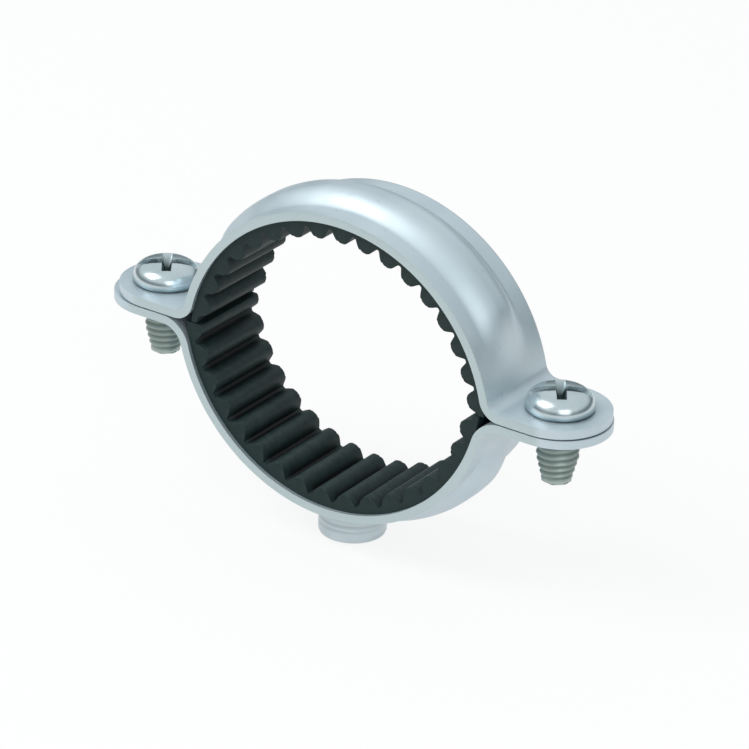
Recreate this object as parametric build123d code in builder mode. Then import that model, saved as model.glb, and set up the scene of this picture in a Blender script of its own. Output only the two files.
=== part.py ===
from build123d import *
from math import cos, pi, radians, sin, sqrt
import os

os.makedirs("parts", exist_ok=True)

# Rubber lined pipe clamp: two stamped half straps with ribbed linings, closed by two screws.
# Millimetres.  +X runs along the ears, +Y along the pipe, +Z up from the boss to the upper half.
# The origin is the centre of the boss mouth, where the hanging rod screws in.

# ---- driving dimensions: straps ----
bore_radius = 25.0          # inner face of each half strap, about its own arc centre
strap_thickness = 1.25
strap_width = 15.0
arc_setback = 3.2           # each arc centre lies this far past the joint, so the closed ring is oval
ear_gap = 0.2               # between the two ears when the clamp is closed
upper_bend_radius = 2.0     # inside radius of the bend into the upper ears
lower_bend_radius = 3.4     # inside radius of the bend into the lower ears
head_clearance = 0.35       # between a screw head and the bend beside it
lower_ear_margin = 7.5      # from a screw axis to the tip of its ear
upper_ear_margin = 6.95
upper_ear_shift = 0.35      # the tips of the upper ears sit this far towards +X
half_shift = 0.8            # the arc and holes of the upper half sit this far towards +X

# ---- driving dimensions: stiffening bead pressed along each strap ----
bead_height = 1.9
bead_crown_width = 1.6      # nearly level middle of the bead
bead_width = 9.4            # from foot to foot
bead_end_angle = 38.0       # from the joint plane to where the full height ends
bead_fade_angle = 18.0      # from the joint plane to where the bead is gone
bead_steps = 8              # spline spans across half of the bead
fade_sections = 5           # lofted sections along each run-out

# ---- driving dimensions: linings ----
lining_thickness = 2.7      # from the strap to the rib tips
rib_height = 1.75
rib_count = 17              # ribs on each half
upper_first_rib_angle = 12.6    # from +X, about the arc centre
upper_rib_pitch_angle = 9.54
lower_first_rib_angle = 13.95
lower_rib_pitch_angle = 9.76
groove_floor_width = 0.5
groove_mouth_width = 2.3
rib_round = 1.0             # round on the edges of a rib
lining_inset = 0.6          # from the edge of the strap to the end face of the ribs
rib_end_chamfer = 0.4

# ---- driving dimensions: boss ----
boss_radius = 4.9
boss_height = 3.2           # below the crest of the bead
boss_thread_radius = 2.5    # tapping size of the M6 thread
boss_pilot_radius = 3.75    # collar that locates in the pierced strap
boss_chamfer = 0.7
mouth_chamfer = 0.5
pilot_clearance = 0.05

# ---- driving dimensions: screws ----
screw_radius = 3.0          # M6
screw_length = 10.8         # under the head
screw_taper = 3.6           # length of the tapered lead
screw_tip_radius = 2.1
screw_thread_clearance = 0.05
head_radius = 4.85
head_height = 3.05
head_rim = 0.65             # upright edge under the rounded side
head_crown_radius = 3.1     # nearly level top of the head
head_crown_drop = 0.3
driver_slot_width = 1.5
driver_slot_depth = 1.0
cross_span = 6.6
cross_wing_width = 1.5
cross_depth = 2.0
cross_taper = 14.0
driver_slot_angle = 35.0    # how far round both screws have been turned
ear_slot_clearance = 0.3    # each side of the screw
ear_slot_end_clearance = 0.15

# ---- derived sizes ----
outer_radius = bore_radius + strap_thickness
crest_radius = outer_radius + bead_height
lower_centre_z = boss_height + crest_radius
joint_z = lower_centre_z - arc_setback
upper_centre_z = joint_z - arc_setback
lower_joint_z = joint_z - ear_gap / 2
upper_joint_z = joint_z + ear_gap / 2
bend_drop = arc_setback + ear_gap / 2 + strap_thickness + upper_bend_radius
ear_root_x = sqrt((outer_radius + upper_bend_radius) ** 2 - bend_drop ** 2)
screw_x = ear_root_x + half_shift + head_radius + head_clearance
ear_slot_length = 2 * (screw_radius + half_shift + ear_slot_end_clearance)
head_seat_z = upper_joint_z + strap_thickness
head_top_z = head_seat_z + head_height
screw_tip_z = head_seat_z - screw_length
ear_reach = screw_x + lower_ear_margin
rib_tip_radius = bore_radius - lining_thickness
groove_floor_radius = rib_tip_radius + rib_height
groove_lean = (groove_mouth_width - groove_floor_width) / 2
oversize = 2 * ear_reach
side_plane = Plane.XZ.offset(-strap_width / 2)      # far side of the strap, facing the near side


def radial_plane(centre, angle):
    """Plane through a half's own axis: local x runs along +Y, local y outwards at this angle."""
    turn = radians(angle)
    return Plane(origin=centre, x_dir=(0, 1, 0), z_dir=(sin(turn), 0, -cos(turn)))


def bead_rise(y):
    """Share of the bead's height at this distance from the middle of the strap."""
    flank = (bead_width - bead_crown_width) / 2
    share = min(max((abs(y) - bead_crown_width / 2) / flank, 0), 1)
    return (1 + cos(pi * share)) / 2


def bead_line(radius, height):
    """Points from foot to foot of the bead, raised over a face of this radius."""
    step = bead_width / 2 / bead_steps
    stations = [step * i for i in range(-bead_steps, bead_steps + 1)]
    return [(y, radius + height * bead_rise(y)) for y in stations]


def strap_section(plane, height):
    """Section of a strap whose bead has this height, on a radial plane."""
    foot = bead_width / 2
    edge = strap_width / 2
    with BuildSketch(plane) as section:
        with BuildLine():
            Polyline((-foot, outer_radius), (-edge, outer_radius), (-edge, bore_radius), (-foot, bore_radius))
            Spline(*bead_line(bore_radius, height), tangents=((1, 0), (1, 0)))
            Polyline((foot, bore_radius), (edge, bore_radius), (edge, outer_radius), (foot, outer_radius))
            Spline(*bead_line(outer_radius, height), tangents=((1, 0), (1, 0)))
        make_face()
    return section.sketch


def envelope_section(plane):
    """Everything from the axis out to the outer face of a beaded strap, on a radial plane."""
    foot = bead_width / 2
    with BuildSketch(plane) as section:
        with BuildLine():
            Spline(*bead_line(outer_radius, bead_height), tangents=((1, 0), (1, 0)))
            Polyline((foot, outer_radius), (strap_width, outer_radius), (strap_width, 0), (-strap_width, 0),
                     (-strap_width, outer_radius), (-foot, outer_radius))
        make_face()
    return section.sketch


def bead_run_out(centre, side, mirrored):
    """Sections from the full bead down to the plain strap, towards one ear."""
    sections = []
    for i in range(fade_sections):
        share = i / (fade_sections - 1)
        angle = bead_end_angle + share * (bead_fade_angle - bead_end_angle)
        turned = 180 - angle if mirrored else angle
        height = bead_height * (1 + cos(pi * share)) / 2
        sections.append(strap_section(radial_plane(centre, side * turned), height))
    return sections


def plain_strap(centre, face_z, side, bend_radius):
    """Side view of a half strap: ears, bends and arc, open where the bead runs.

    side is 1 for the half above the joint and -1 for the half below it.
    """
    with BuildSketch(side_plane) as profile:
        with Locations((centre.X, centre.Z)):
            Circle(outer_radius)
        with Locations((centre.X, face_z + side * strap_thickness / 2)):
            Rectangle(2 * ear_reach, strap_thickness)
        with Locations((centre.X, centre.Z)):
            Circle(bore_radius, mode=Mode.SUBTRACT)
        with Locations((centre.X, face_z - side * oversize / 2)):
            Rectangle(2 * oversize, oversize, mode=Mode.SUBTRACT)
        corners = profile.vertices().filter_by(lambda v: abs(v.X - centre.X) < ear_root_x)
        inner_corners = corners.filter_by(lambda v: abs(v.Y - face_z) < strap_thickness / 2)
        outer_corners = corners.filter_by(lambda v: abs(v.Y - face_z) >= strap_thickness / 2)
        fillet(inner_corners, bend_radius + strap_thickness)
        fillet(outer_corners, bend_radius)
        with BuildLine():
            turn = radians(bead_fade_angle)
            far_x = 2 * oversize * cos(turn)
            far_z = centre.Z + side * 2 * oversize * sin(turn)
            Polyline((centre.X, centre.Z), (centre.X - far_x, far_z), (centre.X + far_x, far_z), close=True)
        make_face(mode=Mode.SUBTRACT)
    return profile.sketch


def lining_ribs(centre, face_z, side, first_rib_angle, rib_pitch_angle):
    """Side view of a lining: a band with a row of grooves, cut off at the joint."""
    rib_land = rib_tip_radius * radians(rib_pitch_angle) - groove_mouth_width
    with BuildSketch(side_plane) as profile:
        with Locations((centre.X, centre.Z)):
            Circle(bore_radius)
            Circle(rib_tip_radius, mode=Mode.SUBTRACT)
        for i in range(-1, rib_count):
            angle = side * (first_rib_angle + (i + 0.5) * rib_pitch_angle)
            with Locations(Location((centre.X, centre.Z, 0), (0, 0, angle))):
                Polygon((rib_tip_radius - rib_height, -groove_mouth_width / 2 - groove_lean),
                        (groove_floor_radius, -groove_floor_width / 2),
                        (groove_floor_radius, groove_floor_width / 2),
                        (rib_tip_radius - rib_height, groove_mouth_width / 2 + groove_lean),
                        align=None, mode=Mode.SUBTRACT)
        spot = Vector(centre.X, centre.Z)
        middle = (rib_tip_radius + groove_floor_radius) / 2
        edges_of_ribs = profile.vertices().filter_by(lambda v: (Vector(v) - spot).length < middle)
        fillet(edges_of_ribs, min(rib_round, 0.75 * rib_land))
        with Locations((centre.X, face_z - side * oversize / 2)):
            Rectangle(2 * oversize, oversize, mode=Mode.SUBTRACT)
    return profile.sketch


def lining_width(centre):
    """Section of a lining across its width, chamfered at both ends of the ribs."""
    edge = strap_width / 2 - lining_inset
    crown = edge - rib_end_chamfer
    shoulder = rib_tip_radius + rib_end_chamfer
    with BuildSketch(radial_plane(centre, 90)) as section:
        Polygon((-edge, bore_radius), (-edge, shoulder), (-crown, rib_tip_radius),
                (crown, rib_tip_radius), (edge, shoulder), (edge, bore_radius), align=None)
    return section.sketch


def ear_outline(middle_x, margin):
    """Plan view of a half: a strip with rounded ends."""
    with BuildSketch() as outline:
        with Locations((middle_x, 0)):
            SlotOverall(2 * (screw_x + margin), strap_width)
    return outline.sketch


# ---- derived places ----
lower_centre = Vector(0, 0, lower_centre_z)
upper_centre = Vector(half_shift, 0, upper_centre_z)
lower_axis = Axis(lower_centre, (0, 1, 0))
upper_axis = Axis(upper_centre, (0, 1, 0))
bead_arc = 180 - 2 * bead_end_angle

with BuildPart() as upper_strap:
    extrude(plain_strap(upper_centre, upper_joint_z, 1, upper_bend_radius), amount=strap_width)
    extrude(ear_outline(upper_ear_shift, upper_ear_margin), amount=oversize, mode=Mode.INTERSECT)
    revolve(strap_section(radial_plane(upper_centre, 180 - bead_end_angle), bead_height),
            upper_axis, bead_arc)
    loft(bead_run_out(upper_centre, 1, False))
    loft(bead_run_out(upper_centre, 1, True))
    with BuildSketch(Plane.XY.offset(upper_joint_z)) as upper_holes:
        with Locations((half_shift - screw_x, 0), (half_shift + screw_x, 0)):
            SlotOverall(ear_slot_length, 2 * (screw_radius + ear_slot_clearance))
    extrude(amount=strap_thickness, mode=Mode.SUBTRACT)
upper_strap.part.label = "upper_strap"
export_step(upper_strap.part, "parts/upper_strap.step")

with BuildPart() as lower_strap:
    extrude(plain_strap(lower_centre, lower_joint_z, -1, lower_bend_radius), amount=strap_width)
    extrude(ear_outline(0, lower_ear_margin), amount=oversize, mode=Mode.INTERSECT)
    revolve(strap_section(radial_plane(lower_centre, -bead_end_angle), bead_height),
            lower_axis, bead_arc)
    loft(bead_run_out(lower_centre, -1, False))
    loft(bead_run_out(lower_centre, -1, True))
    with BuildSketch(Plane.XY.offset(lower_joint_z)) as lower_holes:
        with Locations((-screw_x, 0), (screw_x, 0)):
            Circle(screw_radius + screw_thread_clearance)
    extrude(amount=-strap_thickness, mode=Mode.SUBTRACT)
    with BuildSketch() as boss_hole:
        Circle(boss_pilot_radius + pilot_clearance)
    extrude(amount=lower_centre_z / 2, mode=Mode.SUBTRACT)
lower_strap.part.label = "lower_strap"
export_step(lower_strap.part, "parts/lower_strap.step")

with BuildPart() as boss_nut:
    with BuildSketch() as boss_body:
        Circle(boss_radius)
    extrude(amount=lower_centre_z / 2)
    revolve(envelope_section(radial_plane(lower_centre, 90)), lower_axis, mode=Mode.SUBTRACT)
    with BuildSketch() as boss_pilot:
        Circle(boss_pilot_radius)
    extrude(amount=boss_height + strap_thickness)
    chamfer(boss_nut.edges().group_by(Axis.Z)[0], boss_chamfer)
    with BuildSketch() as boss_thread:
        Circle(boss_thread_radius)
    extrude(amount=lower_centre_z, mode=Mode.SUBTRACT)
    mouth = boss_nut.edges().group_by(Axis.Z)[0].sort_by(SortBy.RADIUS)[0]
    chamfer(mouth, mouth_chamfer)
boss_nut.part.label = "boss_nut"
export_step(boss_nut.part, "parts/boss_nut.step")

with BuildPart() as upper_lining:
    extrude(lining_ribs(upper_centre, upper_joint_z, 1, upper_first_rib_angle, upper_rib_pitch_angle),
            amount=strap_width)
    revolve(lining_width(upper_centre), upper_axis, mode=Mode.INTERSECT)
upper_lining.part.label = "upper_lining"
export_step(upper_lining.part, "parts/upper_lining.step")

with BuildPart() as lower_lining:
    extrude(lining_ribs(lower_centre, lower_joint_z, -1, lower_first_rib_angle, lower_rib_pitch_angle),
            amount=strap_width)
    revolve(lining_width(lower_centre), lower_axis, mode=Mode.INTERSECT)
lower_lining.part.label = "lower_lining"
export_step(lower_lining.part, "parts/lower_lining.step")


def screw_section(x):
    """Half section of a screw at this place along the ears: tapered lead, shank and pan head."""
    rim = (x + head_radius, head_seat_z + head_rim)
    crown_edge = (x + head_crown_radius, head_top_z - head_crown_drop)
    with BuildSketch(Plane.XZ) as section:
        with BuildLine():
            Polyline((x, head_top_z), (x, screw_tip_z), (x + screw_tip_radius, screw_tip_z),
                     (x + screw_radius, screw_tip_z + screw_taper), (x + screw_radius, head_seat_z),
                     (x + head_radius, head_seat_z), rim)
            crown = TangentArc((x, head_top_z), crown_edge, tangent=(1, 0))
            TangentArc(crown_edge, rim, tangent=crown % 1)
        make_face()
    return section.sketch


def straight_slot(x):
    """Plan view of the slot right across the head, at its top."""
    with BuildSketch(Plane.XY.offset(head_top_z)) as slot:
        with Locations((x, 0)):
            Rectangle(2 * head_radius + driver_slot_width, driver_slot_width, rotation=driver_slot_angle)
    return slot.sketch


def cross_recess(x):
    """Plan view of the cross in the middle of the head, one pair of wings along the slot."""
    with BuildSketch(Plane.XY.offset(head_top_z)) as cross:
        with Locations((x, 0)):
            Rectangle(cross_span, cross_wing_width, rotation=driver_slot_angle)
            Rectangle(cross_span, cross_wing_width, rotation=driver_slot_angle + 90)
    return cross.sketch


with BuildPart() as left_screw:
    revolve(screw_section(-screw_x), Axis((-screw_x, 0, 0), (0, 0, 1)))
    extrude(straight_slot(-screw_x), amount=-driver_slot_depth, mode=Mode.SUBTRACT)
    extrude(cross_recess(-screw_x), amount=-cross_depth, taper=cross_taper, mode=Mode.SUBTRACT)
left_screw.part.label = "left_screw"
export_step(left_screw.part, "parts/left_screw.step")

with BuildPart() as right_screw:
    revolve(screw_section(screw_x), Axis((screw_x, 0, 0), (0, 0, 1)))
    extrude(straight_slot(screw_x), amount=-driver_slot_depth, mode=Mode.SUBTRACT)
    extrude(cross_recess(screw_x), amount=-cross_depth, taper=cross_taper, mode=Mode.SUBTRACT)
right_screw.part.label = "right_screw"
export_step(right_screw.part, "parts/right_screw.step")
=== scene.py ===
import bmesh
import bpy
from math import asin, atan2, ceil, cos, degrees, hypot, pi, radians, sin, sqrt
from mathutils import Matrix, Vector


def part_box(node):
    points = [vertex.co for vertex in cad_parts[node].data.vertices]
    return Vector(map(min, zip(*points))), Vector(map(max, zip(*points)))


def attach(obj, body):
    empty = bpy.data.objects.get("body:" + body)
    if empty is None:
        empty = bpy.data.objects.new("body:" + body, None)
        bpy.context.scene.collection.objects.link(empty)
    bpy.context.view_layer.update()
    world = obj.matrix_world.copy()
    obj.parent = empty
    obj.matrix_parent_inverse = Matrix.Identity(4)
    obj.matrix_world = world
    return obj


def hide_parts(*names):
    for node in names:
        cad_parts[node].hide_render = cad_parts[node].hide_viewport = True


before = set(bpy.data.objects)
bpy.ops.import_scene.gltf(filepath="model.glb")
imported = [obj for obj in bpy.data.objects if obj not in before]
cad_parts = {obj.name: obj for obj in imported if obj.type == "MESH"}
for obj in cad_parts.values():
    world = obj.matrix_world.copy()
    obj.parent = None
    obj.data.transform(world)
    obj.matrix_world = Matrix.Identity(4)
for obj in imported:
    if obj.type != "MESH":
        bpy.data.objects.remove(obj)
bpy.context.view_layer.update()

MM = 0.001
merge_distance = 0.002 * MM

# ---- straps ----
upper_low, upper_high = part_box("upper_strap")
lower_low, lower_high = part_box("lower_strap")
strap_width = upper_high.y - upper_low.y
upper_joint_z = upper_low.z
lower_joint_z = lower_high.z
joint_z = (upper_joint_z + lower_joint_z) / 2
half_shift = 0.8 * MM
bore_radius = 25.0 * MM
strap_thickness = 1.25 * MM
arc_setback = 3.2 * MM
upper_bend_radius = 2.0 * MM
lower_bend_radius = 3.4 * MM
strap_edge_round = 0.28 * MM
upper_slot_length = 7.9 * MM
upper_slot_width = 6.6 * MM
lower_hole_width = 6.1 * MM
strap_strips = 48
arc_steps = 140
bend_steps = 16
ear_end_steps = 24
slot_steps = 48
sharp_strap_angle = 50.0

# ---- stiffening bead ----
bead_height = 1.9 * MM
bead_crown_width = 1.6 * MM
bead_width = 9.4 * MM
bead_end_angle = 38.0
bead_fade_angle = 18.0

# ---- linings ----
lining_low, lining_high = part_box("upper_lining")
lining_width = lining_high.y - lining_low.y
lining_thickness = 2.7 * MM
rib_height = 1.75 * MM
rib_count = 17
upper_rib_start = radians(12.6)
upper_rib_pitch = radians(9.54)
lower_rib_start = radians(13.95)
lower_rib_pitch = radians(9.76)
groove_floor_width = 0.5 * MM
rib_roundness = 2.3
# painted shade in the grooves fades out over this length from each end
groove_fade = 1.8 * MM
rib_end_round = 0.4 * MM
steps_per_rib = 22
lining_overrun = radians(4)
# painted shade in the grooves starts at this share of the rib height, grows over the next share and stays
# off near the ends
groove_shade_from = 0.35
groove_shade_over = 0.6
groove_light_end = 0.15
# painted shade on the ends of the lining reaches this far in from each end
end_shade_reach = 0.3 * MM
lining_back_skin = 0.1 * MM
lining_strips = 60

# ---- boss ----
boss_low, boss_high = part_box("boss_nut")
boss_radius = (boss_high.x - boss_low.x) / 2
boss_chamfer = 0.5 * MM
boss_bore_radius = 2.5 * MM
mouth_chamfer = 0.5 * MM
boss_edge_round = 0.15 * MM
boss_overrun = 2 * MM
boss_steps = 96
boss_reach = radians(15)
bead_rows = 32
reach_steps = 30

# ---- screws ----
screw_low, screw_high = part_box("right_screw")
screw_x = (screw_low.x + screw_high.x) / 2
head_radius = (screw_high.x - screw_low.x) / 2
head_top_z = screw_high.z
screw_tip_z = screw_low.z
head_seat_z = upper_joint_z + strap_thickness
head_rim = 0.65 * MM
head_crown_radius = 3.1 * MM
head_crown_drop = 0.3 * MM
head_undercut = 0.3 * MM
head_edge_round = 0.08 * MM
head_steps = 96
shank_overlap = 0.3 * MM
# painted shade inside the recess deepens over this depth below the head's outline
recess_shade_depth = 0.45 * MM
recess_lowest_z = head_seat_z + 0.4 * MM
under_head_z = head_seat_z - 0.01 * MM
thread_tip_z = screw_tip_z + 0.3 * MM
# painted shade at the foot of the head reaches this high
rim_shade_height = 1.1 * head_rim
screw_radius = 3.0 * MM
thread_root_radius = 2.72 * MM
thread_crest_round = 0.04 * MM
thread_root_round = 0.03 * MM
thread_pitch = 1.0 * MM
screw_tip_radius = 2.1 * MM
screw_taper = 3.6 * MM
thread_run_in = 1.0 * MM
thread_steps = 48
driver_slot_width = 1.5 * MM
driver_slot_depth = 1.0 * MM
cross_span = 6.6 * MM
cross_wing_width = 1.5 * MM
cross_floor_span = 3.4 * MM
cross_floor_width = 0.6 * MM
cross_depth = 2.0 * MM
side_steps = 16
crown_steps = 6
driver_slot_angle = radians(35)

# ---- finishes: metals go from a dark to a light tone ----
strap_tones = (0.51, 0.60, 0.65), (0.62, 0.70, 0.74)
stain_tone = (0.36, 0.47, 0.50)
speck_tone = (0.25, 0.31, 0.31)
sheared_edge_tone = (0.50, 0.59, 0.60)
sheared_edge_blend = 0.2 * MM
screw_tones = (0.50, 0.59, 0.62), (0.62, 0.70, 0.72)
# painted shade at the foot of the head
rim_shade_tone = (0.05, 0.11, 0.13)
thread_tone = (0.40, 0.47, 0.44)
# painted shade in the thread's roots
root_shade_tone = (0.18, 0.23, 0.21)
# painted shade inside the recess
recess_shade_tone = (0.035, 0.060, 0.060)
thread_roughness = 0.25
boss_tones = (0.44, 0.52, 0.56), (0.56, 0.64, 0.67)
turning_mark_tone = (0.16, 0.20, 0.22)
turning_mark_scale = (60, 60, 1300)
rubber_tones = (0.009, 0.022, 0.022), (0.019, 0.037, 0.036)
worn_tone = (0.030, 0.052, 0.052)
# painted shade on the end faces of the ribs
end_face_shade_tone = (0.007, 0.021, 0.020)
# painted shade down in the grooves
groove_shade_tone = (0.001, 0.003, 0.003)
grain_depth = 0.2 * MM

# ---- studio and camera ----
floor_whiteness = 0.86
floor_drop = 0.2 * MM
floor_size = 6
lamp_target = (0, 0, 0.03)
horizon_colour = (0.10, 0.14, 0.15)
sky_colour = (0.78, 0.82, 0.84)
sky_ramp = (0.12, 0.50)
azimuth = radians(33.67)
elevation = radians(25.86)
roll = radians(2.02)
distance = 0.700
focal_pixels = 4999.5
picture_pixels = 749
sensor_width = 36
shift_right = 2.254 * MM
shift_up = -3.424 * MM

# ---- derived ----
outer_radius = bore_radius + strap_thickness
rib_tip_radius = bore_radius - lining_thickness
upper_centre = Vector((half_shift, 0, joint_z - arc_setback))
lower_centre = Vector((0, 0, joint_z + arc_setback))


# ---- modelling helpers ----
def choose(piece):
    """Only this piece is selected and active."""
    bpy.ops.object.select_all(action="DESELECT")
    piece.select_set(True)
    bpy.context.view_layer.objects.active = piece


def edit(piece):
    """Only this piece is selected, and it is open in edit mode with nothing selected in it."""
    choose(piece)
    bpy.ops.object.mode_set(mode="EDIT")
    bpy.ops.mesh.select_all(action="DESELECT")


def close():
    """Leaves edit mode."""
    bpy.ops.object.mode_set(mode="OBJECT")


def select(piece, mode, test):
    """Selects the vertices, edges or faces whose own corner points all pass the test."""
    bpy.ops.mesh.select_mode(type=mode)
    bpy.ops.mesh.select_all(action="DESELECT")
    mesh = bmesh.from_edit_mesh(piece.data)
    group = {"VERT": mesh.verts, "EDGE": mesh.edges, "FACE": mesh.faces}[mode]
    for element in group:
        corners = [element] if mode == "VERT" else element.verts
        if all(test(corner.co) for corner in corners):
            element.select_set(True)
    mesh.select_flush_mode()
    bmesh.update_edit_mesh(piece.data)


def near(a, b):
    """True when two lengths are the same for modelling."""
    return abs(a - b) < merge_distance


def turn_outwards(piece, side):
    """Turns the faces of a sheet so that the outermost one looks out. Side is 1 for up and -1 for down."""
    bpy.ops.mesh.select_all(action="SELECT")
    bpy.ops.mesh.normals_make_consistent(inside=False)
    mesh = bmesh.from_edit_mesh(piece.data)
    top = max(mesh.faces, key=lambda face: side * face.calc_center_median().z)
    if top.normal.z * side < 0:
        bpy.ops.mesh.flip_normals()


def add_plane(name):
    """A unit plane at the origin, open in edit mode and selected."""
    bpy.ops.object.select_all(action="DESELECT")
    bpy.ops.mesh.primitive_plane_add(size=1, location=(0, 0, 0))
    piece = bpy.context.object
    piece.name = name
    piece.data.name = name
    edit(piece)
    bpy.ops.mesh.select_all(action="SELECT")
    return piece


def add_line(name, places):
    """A run of edges through these places, open in edit mode and selected."""
    piece = add_plane(name)
    bpy.ops.mesh.delete(type="VERT")
    mesh = bmesh.from_edit_mesh(piece.data)
    corners = [mesh.verts.new(place) for place in places]
    for first, second in zip(corners, corners[1:]):
        mesh.edges.new((first, second))
    bmesh.update_edit_mesh(piece.data)
    bpy.ops.mesh.select_all(action="SELECT")
    return piece


def apply_modifier(piece, kind, **settings):
    """Adds a modifier with these settings and applies it."""
    choose(piece)
    modifier = piece.modifiers.new(kind.lower(), kind)
    for setting, value in settings.items():
        setattr(modifier, setting, value)
    bpy.ops.object.modifier_apply(modifier=modifier.name)


def cut(piece, cutter, operation="DIFFERENCE"):
    """Cuts the piece with another mesh, which is then removed."""
    apply_modifier(piece, "BOOLEAN", object=cutter, operation=operation, solver="EXACT")
    bpy.data.objects.remove(cutter)


def smooth(piece, angle):
    """Smooth shading across edges that turn less than this angle."""
    choose(piece)
    bpy.ops.object.shade_smooth_by_angle(angle=radians(angle))


def join(piece, other):
    """Joins another mesh into this piece."""
    choose(piece)
    other.select_set(True)
    bpy.ops.object.join()


def turned_part(name, outline, x, steps):
    """A solid of revolution about the upright axis at x. The outline runs from the axis or round a wall."""
    piece = add_line(name, [(x + r, 0, z) for r, z in outline])
    bpy.ops.mesh.spin(steps=steps, angle=2 * pi, center=(x, 0, 0), axis=(0, 0, 1))
    bpy.ops.mesh.select_all(action="SELECT")
    bpy.ops.mesh.remove_doubles(threshold=merge_distance)
    bpy.ops.mesh.normals_make_consistent(inside=False)
    close()
    return piece


def weigh(piece, name, weight):
    """A vertex group whose weights come from each vertex's place."""
    group = piece.vertex_groups.new(name=name)
    for vertex in piece.data.vertices:
        share = weight(vertex.co)
        if share > 0:
            group.add([vertex.index], share, "REPLACE")
    return group


def paint(piece, name, value):
    """A number at every vertex, from its place, for the material to read."""
    layer = piece.data.attributes.new(name, "FLOAT", "POINT")
    for vertex in piece.data.vertices:
        layer.data[vertex.index].value = value(vertex.co)


def ease(share):
    """Rises smoothly from 0 to 1 as the share does."""
    share = min(max(share, 0), 1)
    return share * share * (3 - 2 * share)


# ---- straps ----
def bead_rise(y):
    """Share of the bead's height at this distance from the middle of the strap."""
    flank = (bead_width - bead_crown_width) / 2
    share = min(max((abs(y) - bead_crown_width / 2) / flank, 0), 1)
    return (1 + cos(pi * share)) / 2


def bead_fade(angle):
    """Share of the bead's height at this angle from the joint plane, in degrees."""
    share = (bead_end_angle - angle) / (bead_end_angle - bead_fade_angle)
    return (1 + cos(pi * min(max(share, 0), 1))) / 2


def strap(name, centre, face_z, side, bend_radius, left_x, right_x):
    """One half strap: ear, bend, arc, bend and ear as a sheet, then the pressed bead and the thickness."""
    left_end = left_x + strap_width / 2
    right_end = right_x - strap_width / 2
    bend_drop = abs(face_z - centre.z) + strap_thickness + bend_radius
    bend_x = sqrt((outer_radius + bend_radius) ** 2 - bend_drop ** 2)
    bend_z = face_z + side * (strap_thickness + bend_radius)
    tangent_angle = asin(bend_drop / (outer_radius + bend_radius))
    bend_turn = pi / 2 - tangent_angle
    piece = add_plane(name)
    left_ear_length = centre.x - bend_x - left_end
    bpy.ops.transform.resize(value=(left_ear_length, strap_width, 1), center_override=(0, 0, 0))
    bpy.ops.transform.translate(value=((centre.x - bend_x + left_end) / 2, 0, face_z))
    mesh = bmesh.from_edit_mesh(piece.data)
    bpy.ops.mesh.select_mode(type="EDGE")
    bpy.ops.mesh.select_all(action="DESELECT")
    for edge in mesh.edges:
        if near(edge.verts[0].co.x, edge.verts[1].co.x):
            edge.select_set(True)
    bmesh.update_edit_mesh(piece.data)
    bpy.ops.mesh.subdivide(number_cuts=strap_strips - 1)
    select(piece, "EDGE", lambda co: near(co.x, centre.x - bend_x))
    sweeps = [(bend_steps, bend_turn, (centre.x - bend_x, 0, bend_z), side),
              (arc_steps, pi - 2 * tangent_angle, tuple(centre), -side),
              (bend_steps, bend_turn, (centre.x + bend_x, 0, bend_z), side)]
    for steps, turn, middle, way in sweeps:
        bpy.ops.mesh.spin(steps=steps, angle=turn, center=middle, axis=(0, way, 0))
    right_ear_length = right_end - centre.x - bend_x
    bpy.ops.mesh.extrude_region_move(TRANSFORM_OT_translate={"value": (right_ear_length, 0, 0)})
    for end, end_x in ((-1, left_end), (1, right_end)):
        select(piece, "EDGE", lambda co: near(co.x, end_x) and co.y > -merge_distance)
        bpy.ops.mesh.spin(steps=ear_end_steps, angle=pi, center=(end_x, 0, face_z), axis=(0, 0, end))
    bpy.ops.mesh.select_all(action="SELECT")
    bpy.ops.mesh.remove_doubles(threshold=merge_distance)
    turn_outwards(piece, side)
    close()

    def pressed(co):
        out = Vector((co.x - centre.x, 0, co.z - centre.z))
        if side * out.z <= 0 or abs(out.x) > bore_radius:
            return 0
        return bead_rise(co.y) * bead_fade(degrees(asin(min(side * out.z / out.length, 1))))

    weigh(piece, "bead", pressed)
    apply_modifier(piece, "DISPLACE", strength=bead_height, mid_level=0, vertex_group="bead")
    apply_modifier(piece, "SOLIDIFY", thickness=strap_thickness, offset=1, use_even_offset=False)
    piece.vertex_groups.clear()
    return piece


def slot_cutter(x, z, length, width):
    """An upright prism with round ends, which cuts a slotted hole through an ear."""
    bpy.ops.object.select_all(action="DESELECT")
    bpy.ops.mesh.primitive_cylinder_add(vertices=slot_steps, radius=width / 2, depth=4 * strap_thickness,
                                        location=(0, 0, 0))
    cutter = bpy.context.object
    edit(cutter)
    for end in (-1, 1):
        select(cutter, "VERT", lambda co: end * co.x > merge_distance)
        bpy.ops.transform.translate(value=(end * (length - width) / 2, 0, 0))
    bpy.ops.mesh.select_all(action="SELECT")
    bpy.ops.transform.translate(value=(x, 0, z))
    close()
    return cutter


def finish_strap(piece):
    """Rounds the sheared edges and smooths the pressed faces."""
    apply_modifier(piece, "BEVEL", width=strap_edge_round, segments=3, limit_method="ANGLE",
                   angle_limit=radians(sharp_strap_angle), harden_normals=False)
    smooth(piece, 35)


# ---- linings ----
def rib_depth(angle, rib_start, rib_pitch):
    """How deep the surface lies under the rib tips, at this angle from +X."""
    turn = min(max((angle - rib_start) / rib_pitch, -0.5), rib_count - 0.5)
    offset = abs(turn - round(turn)) * rib_pitch * rib_tip_radius
    half_rib = rib_pitch * rib_tip_radius / 2 - groove_floor_width / 2
    return rib_height * min(offset / half_rib, 1) ** rib_roundness


def end_depth(y):
    """How deep the rounded ends of the ribs lie under their tips, at this distance from the middle."""
    past = max(abs(y) - lining_width / 2 + rib_end_round, 0)
    return rib_end_round - sqrt(max(rib_end_round ** 2 - past ** 2, 0))


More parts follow.
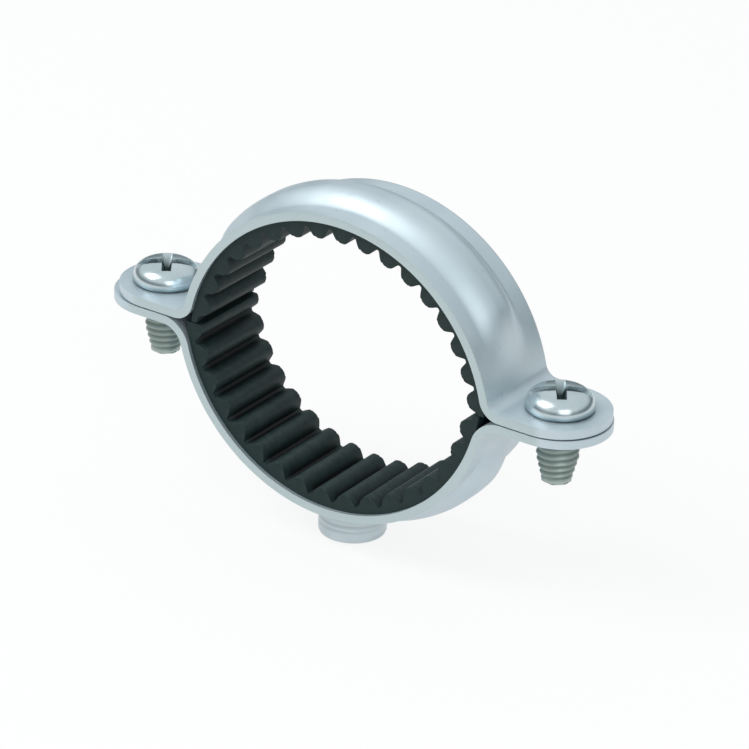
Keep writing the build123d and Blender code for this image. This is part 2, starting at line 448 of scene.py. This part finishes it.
def arc_sheet(name, centre, side, radius, start_angle, steps):
    """A strip as wide as the lining, spun round the axis of one half at this radius."""
    piece = add_plane(name)
    bpy.ops.mesh.delete(type="ONLY_FACE")
    select(piece, "VERT", lambda co: co.x > 0)
    bpy.ops.mesh.delete(type="VERT")
    bpy.ops.mesh.select_all(action="SELECT")
    bpy.ops.mesh.subdivide(number_cuts=lining_strips - 1)
    bpy.ops.transform.resize(value=(1, lining_width, 1), center_override=(0, 0, 0))
    offset = (centre.x - radius * cos(start_angle) + 0.5, 0, centre.z + side * radius * sin(start_angle))
    bpy.ops.transform.translate(value=offset)
    bpy.ops.mesh.spin(steps=steps, angle=pi - 2 * start_angle, center=tuple(centre), axis=(0, -side, 0))
    close()
    return piece


def lining(name, centre, face_z, side, rib_start, rib_pitch):
    """One half lining: a ribbed inner face and a plain back, joined round the rim and cut at the joint."""
    start_angle = asin(abs(face_z - centre.z) / bore_radius) - lining_overrun
    steps = ceil((pi - 2 * start_angle) / rib_pitch * steps_per_rib)
    piece = arc_sheet(name, centre, side, rib_tip_radius, start_angle, steps)
    edit(piece)
    turn_outwards(piece, side)
    close()

    def hollow(co):
        angle = atan2(side * (co.z - centre.z), co.x - centre.x)
        return max(rib_depth(angle, rib_start, rib_pitch), end_depth(co.y)) / lining_thickness

    weigh(piece, "grooves", hollow)
    apply_modifier(piece, "DISPLACE", strength=lining_thickness, mid_level=0, vertex_group="grooves")
    piece.vertex_groups.clear()
    join(piece, arc_sheet("back", centre, side, bore_radius, start_angle, steps))
    edit(piece)
    bpy.ops.mesh.select_mode(type="EDGE")
    bpy.ops.mesh.select_all(action="DESELECT")
    bpy.ops.mesh.select_non_manifold(extend=False, use_wire=False, use_boundary=True, use_multi_face=False,
                                     use_non_contiguous=False, use_verts=False)
    bpy.ops.mesh.bridge_edge_loops()
    bpy.ops.mesh.select_all(action="SELECT")
    bpy.ops.mesh.normals_make_consistent(inside=False)
    bpy.ops.mesh.bisect(plane_co=(0, 0, face_z), plane_no=(0, 0, side), use_fill=True, clear_inner=True)
    close()
    smooth(piece, 40)

    # Painted shade: darker where the surface lies deep under the rib tips, fading out near the ends of the
    # grooves.
    def groove_shade_share(co):
        reach = hypot(co.x - centre.x, co.z - centre.z)
        if reach > bore_radius - lining_back_skin:
            return 0
        depth = (reach - rib_tip_radius) / rib_height
        inside = (lining_width / 2 - abs(co.y)) / groove_fade
        return ease((depth - groove_shade_from) / groove_shade_over) * ease(inside - groove_light_end)

    paint(piece, "groove_shade", groove_shade_share)
    # painted shade on the end faces of the ribs and their rounded edges
    paint(piece, "end", lambda co: ease((abs(co.y) - lining_width / 2) / end_shade_reach + 1))
    return piece


# ---- boss ----
def boss(name):
    """The weld boss: a turned barrel whose top is cut to the bead that it is welded to."""
    top_z = boss_high.z + boss_overrun
    outline = [(boss_bore_radius, top_z), (boss_bore_radius, mouth_chamfer),
               (boss_bore_radius + mouth_chamfer, 0), (boss_radius - boss_chamfer, 0),
               (boss_radius - 0.25 * boss_chamfer, 0.3 * boss_chamfer), (boss_radius, boss_chamfer),
               (boss_radius, top_z), (boss_bore_radius, top_z)]
    piece = turned_part(name, outline, 0, boss_steps)
    cut(piece, strap_space())
    apply_modifier(piece, "BEVEL", width=boss_edge_round, segments=2, limit_method="ANGLE",
                   angle_limit=radians(40))
    smooth(piece, 40)
    return piece


def strap_space():
    """All that lies inside the outer face of the beaded lower strap, round the boss."""
    line = [(-strap_width, outer_radius / 2), (-strap_width, outer_radius)]
    for i in range(bead_rows + 1):
        y = bead_width * (i / bead_rows - 0.5)
        line.append((y, outer_radius + bead_height * bead_rise(y)))
    line += [(strap_width, outer_radius), (strap_width, outer_radius / 2)]
    piece = add_line("strap_space", [
        (-r * sin(boss_reach), y, lower_centre.z - r * cos(boss_reach)) for y, r in line])
    bpy.ops.mesh.edge_face_add()
    bpy.ops.mesh.spin(steps=reach_steps, angle=2 * boss_reach, center=tuple(lower_centre), axis=(0, 1, 0))
    bpy.ops.mesh.select_all(action="SELECT")
    bpy.ops.mesh.normals_make_consistent(inside=False)
    close()
    return piece


# ---- screws ----
def envelope_radius(z):
    """Radius of the screw's own outline at this height."""
    rise = min(max((z - screw_tip_z) / screw_taper, 0), 1)
    return screw_tip_radius + (screw_radius - screw_tip_radius) * rise


def screw_shank(x):
    """A helical thread, pulled in to its tapered lead and closed at both ends."""
    mid_radius = (screw_radius + thread_root_radius) / 2
    low_flank = thread_root_radius + thread_root_round
    high_flank = screw_radius - thread_crest_round
    tooth = [(thread_root_radius, 0), (low_flank, 0.12), (mid_radius, 0.28), (high_flank, 0.42),
             (screw_radius, 0.5), (high_flank, 0.58), (mid_radius, 0.72), (low_flank, 0.88),
             (thread_root_radius, 1)]
    turns = ceil((head_seat_z - screw_tip_z) / thread_pitch) + 3
    bottom = screw_tip_z - 2 * thread_pitch
    piece = add_line("shank", [(r, 0, bottom + share * thread_pitch) for r, share in tooth])
    close()
    apply_modifier(piece, "SCREW", axis="Z", screw_offset=thread_pitch, angle=2 * pi, iterations=turns,
                   steps=thread_steps, render_steps=thread_steps, use_merge_vertices=True,
                   merge_threshold=merge_distance)
    edit(piece)
    bpy.ops.mesh.select_all(action="SELECT")
    bpy.ops.mesh.remove_doubles(threshold=2 * merge_distance)
    bpy.ops.mesh.bisect(plane_co=(0, 0, screw_tip_z), plane_no=(0, 0, 1), use_fill=True, clear_inner=True)
    bpy.ops.mesh.select_all(action="SELECT")
    top = head_seat_z + shank_overlap
    bpy.ops.mesh.bisect(plane_co=(0, 0, top), plane_no=(0, 0, 1), use_fill=True, clear_outer=True)
    bpy.ops.mesh.select_all(action="SELECT")
    bpy.ops.mesh.normals_make_consistent(inside=False)
    mesh = bmesh.from_edit_mesh(piece.data)
    for vertex in mesh.verts:
        reach = hypot(vertex.co.x, vertex.co.y)
        run_in = min(max((vertex.co.z - screw_tip_z) / thread_run_in, 0), 1)
        pulled = envelope_radius(vertex.co.z) - (screw_radius - reach) * run_in
        vertex.co.x *= pulled / reach
        vertex.co.y *= pulled / reach
    bmesh.update_edit_mesh(piece.data)
    bpy.ops.mesh.select_all(action="SELECT")
    bpy.ops.transform.translate(value=(x, 0, 0))
    close()
    smooth(piece, 30)
    return piece


def head_outline():
    """Half outline of the pan head: undercut rim, rounded side and a nearly level crown."""
    rim_z = head_seat_z + head_rim
    outline = [(0, head_seat_z), (head_radius - head_undercut, head_seat_z),
               (head_radius - 0.1 * head_undercut, head_seat_z + 0.45 * head_undercut),
               (head_radius, head_seat_z + head_undercut)]
    crown_curve = (head_crown_radius ** 2 + head_crown_drop ** 2) / (2 * head_crown_drop)
    crown_turn = asin(head_crown_radius / crown_curve)
    across = head_radius - head_crown_radius
    down = head_top_z - head_crown_drop - rim_z
    side_curve = (across ** 2 + down ** 2) / (2 * (down * cos(crown_turn) - across * sin(crown_turn)))
    side_x = head_crown_radius - side_curve * sin(crown_turn)
    side_z = head_top_z - head_crown_drop - side_curve * cos(crown_turn)
    side_turn = asin(min((head_radius - side_x) / side_curve, 1))
    for i in range(side_steps + 1):
        angle = side_turn + (crown_turn - side_turn) * i / side_steps
        outline.append((side_x + side_curve * sin(angle), side_z + side_curve * cos(angle)))
    for i in range(1, crown_steps):
        angle = crown_turn * (1 - i / crown_steps)
        outline.append((crown_curve * sin(angle), head_top_z - crown_curve * (1 - cos(angle))))
    outline.append((0, head_top_z))
    return outline


def recess_cutter(x, length, width, floor_length, floor_width, depth, turn):
    """A block that narrows from the crown down to its floor, turned to its place in the head at x."""
    bpy.ops.object.select_all(action="DESELECT")
    bpy.ops.mesh.primitive_cube_add(size=1, location=(0, 0, 0))
    cutter = bpy.context.object
    edit(cutter)
    bpy.ops.mesh.select_all(action="SELECT")
    top_length = 2 * length - floor_length
    top_width = 2 * width - floor_width
    bpy.ops.transform.resize(value=(top_length, top_width, 2 * depth), center_override=(0, 0, 0))
    select(cutter, "VERT", lambda co: co.z < 0)
    narrowing = (floor_length / top_length, floor_width / top_width, 1)
    bpy.ops.transform.resize(value=narrowing, center_override=(0, 0, 0))
    bpy.ops.mesh.select_all(action="SELECT")
    bpy.ops.transform.translate(value=(x, 0, head_top_z))
    turned = -(driver_slot_angle + turn)
    bpy.ops.transform.rotate(value=turned, orient_axis="Z", center_override=(x, 0, head_top_z))
    close()
    return cutter


def screw_head(x):
    """The pan head, with a straight slot right across it and a cross in its middle."""
    piece = turned_part("head", head_outline(), x, head_steps)
    slot_length = 2 * head_radius + driver_slot_width
    recesses = [(slot_length, driver_slot_width, slot_length, driver_slot_width, driver_slot_depth, 0),
                (cross_span, cross_wing_width, cross_floor_span, cross_floor_width, cross_depth, 0),
                (cross_span, cross_wing_width, cross_floor_span, cross_floor_width, cross_depth, pi / 2)]
    for recess in recesses:
        cut(piece, recess_cutter(x, *recess))
    apply_modifier(piece, "BEVEL", width=head_edge_round, segments=2, limit_method="ANGLE",
                   angle_limit=radians(35))
    smooth(piece, 30)
    return piece


def screw(name, x):
    """A whole screw: head and threaded shank."""
    head = screw_head(x)
    join(head, screw_shank(x))
    head.name = name
    head.data.name = name
    return head


def crown_height(reach):
    """Height of the head's side and crown at this distance from the screw's axis."""
    outline = head_outline()[3:]
    for (outer, low), (inner, high) in zip(outline, outline[1:]):
        if inner <= reach <= outer:
            return low + (high - low) * (outer - reach) / max(outer - inner, 0.001 * MM)
    return head_seat_z


def paint_screw(piece, x):
    """Marks the recess, the rim, the thread and its roots for the screw's finish: painted shade in the
    recess, at the foot of the head and in the thread's roots.
    """
    # Painted shade: darker the further a point lies below the head's outline.
    def recess(co):
        if co.z < recess_lowest_z:
            return 0
        return ease((crown_height(hypot(co.x - x, co.y)) - co.z) / recess_shade_depth - 0.2)

    # Painted shade: darker the deeper a point lies into the thread.
    def root_shade(co):
        if co.z > under_head_z or co.z < thread_tip_z:
            return 0
        depth = envelope_radius(co.z) - hypot(co.x - x, co.y)
        return ease(depth / (screw_radius - thread_root_radius) * 1.3 - 0.3)

    paint(piece, "recess", recess)
    # painted shade at the foot of the head, fading upwards
    paint(piece, "rim", lambda co: 1 - ease((co.z - head_seat_z) / rim_shade_height))
    paint(piece, "thread", lambda co: 1 if co.z < under_head_z else 0)
    paint(piece, "root_shade", root_shade)


# ---- materials ----
def new_material(name):
    """A material with its nodes and links."""
    material = bpy.data.materials.new(name)
    material.use_nodes = True
    return material, material.node_tree.nodes, material.node_tree.links


def mixed(nodes, links, share, first, second):
    """A colour that goes from the first to the second as the share goes from 0 to 1."""
    blend = nodes.new("ShaderNodeMix")
    blend.data_type = "RGBA"
    links.new(share, blend.inputs["Factor"])
    for socket, colour in ((blend.inputs[6], first), (blend.inputs[7], second)):
        if isinstance(colour, tuple):
            socket.default_value = (*colour, 1)
        else:
            links.new(colour, socket)
    return blend.outputs[2]


def painted(nodes, name):
    """The number that was painted on the vertices."""
    reader = nodes.new("ShaderNodeAttribute")
    reader.attribute_name = name
    return reader.outputs["Fac"]


def worked(nodes, links, operation, *terms):
    """The result of one sum. Its terms are numbers or the outputs of other nodes."""
    node = nodes.new("ShaderNodeMath")
    node.operation = operation
    for socket, term in zip(node.inputs, terms):
        if isinstance(term, (int, float)):
            socket.default_value = term
        else:
            links.new(term, socket)
    return node.outputs["Value"]


def noise(nodes, links, scale, detail, place):
    """Cloudy noise, in noise cells to a metre."""
    mottle = nodes.new("ShaderNodeTexNoise")
    mottle.inputs["Scale"].default_value = scale
    mottle.inputs["Detail"].default_value = detail
    links.new(place, mottle.inputs["Vector"])
    return mottle.outputs["Fac"]


def ramped(nodes, links, value, low, high, to_low, to_high):
    """The value carried from one range of numbers to another, and held at its ends."""
    change = nodes.new("ShaderNodeMapRange")
    change.inputs["From Min"].default_value = low
    change.inputs["From Max"].default_value = high
    change.inputs["To Min"].default_value = to_low
    change.inputs["To Max"].default_value = to_high
    links.new(value, change.inputs["Value"])
    return change.outputs["Result"]


def plated_steel(name, metallic, tones, rough_low, rough_high, scale):
    """Zinc plate: a pale metal with faint mottling in its colour and polish."""
    material, nodes, links = new_material(name)
    shader = nodes["Principled BSDF"]
    shader.inputs["Metallic"].default_value = metallic
    place = nodes.new("ShaderNodeTexCoord").outputs["Object"]
    mottle = noise(nodes, links, scale, 3, place)
    colour = mixed(nodes, links, ramped(nodes, links, mottle, 0.3, 0.7, 0, 1), *tones)
    polish = ramped(nodes, links, mottle, 0.3, 0.7, rough_low, rough_high)
    links.new(colour, shader.inputs["Base Color"])
    links.new(polish, shader.inputs["Roughness"])
    return material, nodes, links, shader, place, colour, polish


def strap_zinc():
    """Plated strip with faint stains and specks. Its sheared edges are a little greener than its faces."""
    material, nodes, links, shader, place, colour, polish = plated_steel(
        "zinc_strap", 0.74, strap_tones, 0.40, 0.52, 110)
    stain = ramped(nodes, links, noise(nodes, links, 55, 5, place), 0.56, 0.72, 0, 0.35)
    colour = mixed(nodes, links, stain, colour, stain_tone)
    speck = ramped(nodes, links, noise(nodes, links, 700, 2, place), 0.70, 0.78, 0, 0.3)
    colour = mixed(nodes, links, speck, colour, speck_tone)
    parts = nodes.new("ShaderNodeSeparateXYZ")
    links.new(place, parts.inputs["Vector"])
    across = worked(nodes, links, "ABSOLUTE", parts.outputs["Y"])
    half = strap_width / 2
    edge = ramped(nodes, links, across, half - sheared_edge_blend, half - 0.1 * sheared_edge_blend, 0, 1)
    links.new(mixed(nodes, links, edge, colour, sheared_edge_tone), shader.inputs["Base Color"])
    return material


def screw_zinc():
    """Brighter plate, duller down the thread and in the recess, with painted shade inside the recess, at
    the foot of the head and in the thread's roots.
    """
    material, nodes, links, shader, place, colour, polish = plated_steel(
        "zinc_screw", 0.92, screw_tones, 0.20, 0.28, 260)
    thread = painted(nodes, "thread")
    recess = painted(nodes, "recess")
    # painted shade at the foot of the head
    colour = mixed(nodes, links, painted(nodes, "rim"), colour, rim_shade_tone)
    colour = mixed(nodes, links, thread, colour, thread_tone)
    # painted shade in the thread's roots
    colour = mixed(nodes, links, painted(nodes, "root_shade"), colour, root_shade_tone)
    # painted shade inside the recess, which is also rougher
    colour = mixed(nodes, links, recess, colour, recess_shade_tone)
    links.new(colour, shader.inputs["Base Color"])
    dull = worked(nodes, links, "MAXIMUM", thread, recess)
    rough = worked(nodes, links, "MULTIPLY_ADD", dull, thread_roughness, polish)
    links.new(rough, shader.inputs["Roughness"])
    return material


def boss_zinc():
    """The same plate over a turned barrel, with fine rings left by the turning."""
    material, nodes, links, shader, place, colour, polish = plated_steel(
        "zinc_boss", 0.78, boss_tones, 0.26, 0.38, 170)
    stretch = nodes.new("ShaderNodeMapping")
    stretch.inputs["Scale"].default_value = turning_mark_scale
    links.new(place, stretch.inputs["Vector"])
    rings = ramped(nodes, links, noise(nodes, links, 1, 2, stretch.outputs["Vector"]), 0.50, 0.72, 0, 0.6)
    links.new(mixed(nodes, links, rings, colour, turning_mark_tone), shader.inputs["Base Color"])
    return material


def rubber():
    """Dark moulded rubber with a fine grain, with painted shade down in its grooves and on the ends of its
    ribs.
    """
    material, nodes, links = new_material("lining_rubber")
    shader = nodes["Principled BSDF"]
    shader.inputs["Roughness"].default_value = 0.55
    shader.inputs["Specular IOR Level"].default_value = 0.3
    place = nodes.new("ShaderNodeTexCoord").outputs["Object"]
    grain = noise(nodes, links, 900, 6, place)
    worn = ramped(nodes, links, noise(nodes, links, 140, 3, place), 0.5, 0.8, 0, 0.5)
    colour = mixed(nodes, links, ramped(nodes, links, grain, 0.3, 0.75, 0, 1), *rubber_tones)
    colour = mixed(nodes, links, worn, colour, worn_tone)
    # painted shade on the end faces of the ribs
    colour = mixed(nodes, links, painted(nodes, "end"), colour, end_face_shade_tone)
    # painted shade down in the grooves
    colour = mixed(nodes, links, painted(nodes, "groove_shade"), colour, groove_shade_tone)
    links.new(colour, shader.inputs["Base Color"])
    bump = nodes.new("ShaderNodeBump")
    bump.inputs["Strength"].default_value = 0.15
    bump.inputs["Distance"].default_value = grain_depth
    links.new(grain, bump.inputs["Height"])
    links.new(bump.outputs["Normal"], shader.inputs["Normal"])
    return material


strap_finish = strap_zinc()
screw_finish = screw_zinc()
boss_finish = boss_zinc()
lining_finish = rubber()


def dress(piece, finish, body, node):
    """Gives a piece its finish and sets it in the frame in place of its node."""
    piece.data.materials.clear()
    piece.data.materials.append(finish)
    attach(piece, body)
    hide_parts(node)


# ---- the seven pieces ----
upper_strap = strap("upper_strap_looks", upper_centre, upper_joint_z, 1, upper_bend_radius,
                    upper_low.x, upper_high.x)
for end in (-1, 1):
    slot_x = half_shift + end * screw_x
    cut(upper_strap, slot_cutter(slot_x, upper_joint_z, upper_slot_length, upper_slot_width))
finish_strap(upper_strap)
dress(upper_strap, strap_finish, "upper_half", "upper_strap")

lower_strap = strap("lower_strap_looks", lower_centre, lower_joint_z, -1, lower_bend_radius,
                    lower_low.x, lower_high.x)
for end in (-1, 1):
    cut(lower_strap, slot_cutter(end * screw_x, lower_joint_z, lower_hole_width, lower_hole_width))
finish_strap(lower_strap)
dress(lower_strap, strap_finish, "lower_half", "lower_strap")

upper_lining = lining("upper_lining_looks", upper_centre, upper_joint_z, 1,
                      upper_rib_start, upper_rib_pitch)
dress(upper_lining, lining_finish, "upper_half", "upper_lining")
lower_lining = lining("lower_lining_looks", lower_centre, lower_joint_z, -1,
                      lower_rib_start, lower_rib_pitch)
dress(lower_lining, lining_finish, "lower_half", "lower_lining")

dress(boss("boss_looks"), boss_finish, "lower_half", "boss_nut")

for screw_name, x in (("left_screw", -screw_x), ("right_screw", screw_x)):
    closing_screw = screw(screw_name + "_looks", x)
    paint_screw(closing_screw, x)
    dress(closing_screw, screw_finish, screw_name, screw_name)


# ---- floor, light and camera ----
def seen_directly(nodes, links):
    """1 for rays from the camera and rays by way of metal or glass, 0 for rays that light other things."""
    path = nodes.new("ShaderNodeLightPath")
    first = worked(nodes, links, "MAXIMUM", path.outputs["Is Camera Ray"], path.outputs["Is Glossy Ray"])
    return worked(nodes, links, "MAXIMUM", first, path.outputs["Is Transmission Ray"])


def studio_floor():
    """A plain floor just under the boss, which is nearly white to the eye and still takes a shadow."""
    bpy.ops.object.select_all(action="DESELECT")
    bpy.ops.mesh.primitive_plane_add(size=floor_size, location=(0, 0, -floor_drop))
    floor = bpy.context.object
    floor.name = "floor"
    material, nodes, links = new_material("floor_white")
    shader = nodes["Principled BSDF"]
    shader.inputs["Base Color"].default_value = (0.8, 0.8, 0.8, 1)
    shader.inputs["Roughness"].default_value = 1.0
    shader.inputs["Specular IOR Level"].default_value = 0.0
    white = nodes.new("ShaderNodeEmission")
    white.inputs["Color"].default_value = (1, 1, 1, 1)
    white.inputs["Strength"].default_value = 1.0
    both = nodes.new("ShaderNodeMixShader")
    seen = worked(nodes, links, "MULTIPLY", seen_directly(nodes, links), floor_whiteness)
    links.new(seen, both.inputs["Fac"])
    links.new(shader.outputs["BSDF"], both.inputs[1])
    links.new(white.outputs["Emission"], both.inputs[2])
    links.new(both.outputs["Shader"], nodes["Material Output"].inputs["Surface"])
    floor.data.materials.append(material)


def soft_box(name, place, size, power):
    """A square lamp that looks at the middle of the clamp."""
    lamp = bpy.data.lights.new(name, "AREA")
    lamp.shape = "SQUARE"
    lamp.size = size
    lamp.energy = power
    holder = bpy.data.objects.new(name, lamp)
    bpy.context.scene.collection.objects.link(holder)
    holder.location = place
    holder.rotation_euler = (Vector(lamp_target) - Vector(place)).to_track_quat("-Z", "Y").to_euler()


def studio_world():
    """Soft light from a pale sky that darkens towards the horizon."""
    world = bpy.data.worlds.new("studio")
    bpy.context.scene.world = world
    world.use_nodes = True
    nodes, links = world.node_tree.nodes, world.node_tree.links
    direction = nodes.new("ShaderNodeTexCoord")
    parts = nodes.new("ShaderNodeSeparateXYZ")
    links.new(direction.outputs["Generated"], parts.inputs["Vector"])
    height = nodes.new("ShaderNodeValToRGB")
    height.color_ramp.interpolation = "EASE"
    stops = zip(height.color_ramp.elements, sky_ramp, (horizon_colour, sky_colour))
    for element, position, colour in stops:
        element.position = position
        element.color = (*colour, 1)
    links.new(parts.outputs["Z"], height.inputs["Fac"])
    links.new(height.outputs["Color"], nodes["Background"].inputs["Color"])
    nodes["Background"].inputs["Strength"].default_value = 1.0


def studio_camera():
    """The camera, aimed at the joint from the front right and a little above."""
    back = Vector((sin(azimuth) * cos(elevation), -cos(azimuth) * cos(elevation), sin(elevation)))
    level = Vector((0, 0, 1)).cross(back).normalized()
    rise = back.cross(level)
    right = level * cos(roll) + rise * sin(roll)
    up = rise * cos(roll) - level * sin(roll)
    camera_data = bpy.data.cameras.new("camera")
    camera = bpy.data.objects.new("camera", camera_data)
    bpy.context.scene.collection.objects.link(camera)
    camera.matrix_world = Matrix((right, up, back)).transposed().to_4x4()
    camera.location = Vector((0, 0, upper_joint_z)) + back * distance + right * shift_right + up * shift_up
    camera_data.sensor_width = sensor_width
    camera_data.lens = focal_pixels / picture_pixels * sensor_width
    bpy.context.scene.camera = camera


studio_floor()
soft_box("key_light", (-0.35, -0.35, 0.65), 0.42, 3.2)
soft_box("fill_light", (0.6, -0.5, 0.4), 0.5, 1.2)
studio_world()
studio_camera()
bpy.context.scene.view_settings.view_transform = "Standard"
